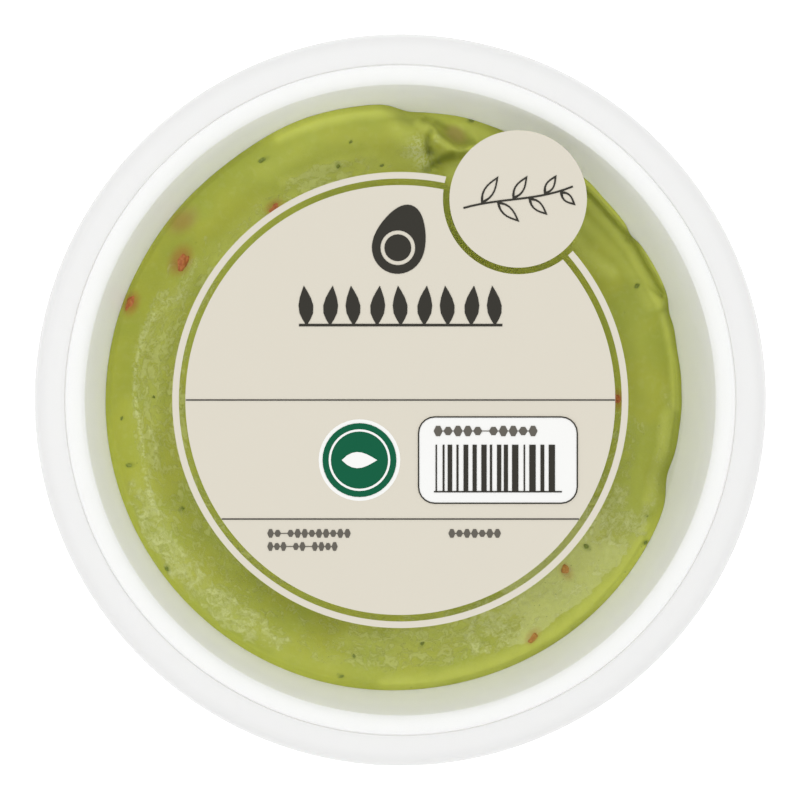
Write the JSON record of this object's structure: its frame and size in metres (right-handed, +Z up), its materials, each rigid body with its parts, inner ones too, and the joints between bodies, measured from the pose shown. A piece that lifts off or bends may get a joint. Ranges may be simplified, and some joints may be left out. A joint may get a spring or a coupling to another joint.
{
  "type": "tub of guacamole",
  "caption": "Shallow round plastic tub of guacamole with a rolled flange, closed by a clear sealing film that carries a round printed label; the dip lies in a loose ring below the rim.",
  "frame": {"origin": "centre of the tub's footprint on the table", "axes": "+Z up along the tub's axis, +Y towards the top of the label, +X towards the label's right"},
  "size_m": [0.0952, 0.0952, 0.0344],
  "materials": {
    "tub_plastic": "satin white polypropylene",
    "guacamole": "moist, smooth yellow-green avocado dip with pale frothy flecks",
    "film": "clear thin plastic film",
    "label_cream": "matt cream print on the film",
    "ink_dark": "matt dark brown-grey print",
    "ink_green": "matt deep green print",
    "ink_white": "matt white print"
  },
  "bodies": {
    "root": {"tub": "tub_plastic", "guacamole": "guacamole", "film": "film", "label_disc": "label_cream", "label_ring": "label_cream", "label_badge": "label_cream", "rule_upper": "ink_dark", "rule_lower": "ink_dark", "emblem": "ink_dark", "emblem_stone": "ink_dark", "leaf_band": "ink_dark", "mark_border": "ink_white", "mark_field": "ink_green", "mark_ring": "ink_white", "mark_leaf": "ink_white", "panel_field": "ink_white", "panel_outline": "ink_dark", "panel_caption": "ink_dark", "panel_bars": "ink_dark", "note_upper": "ink_dark", "note_lower": "ink_dark", "note_right": "ink_dark", "badge_sprig": "ink_dark"}
  },
  "joints": []
}
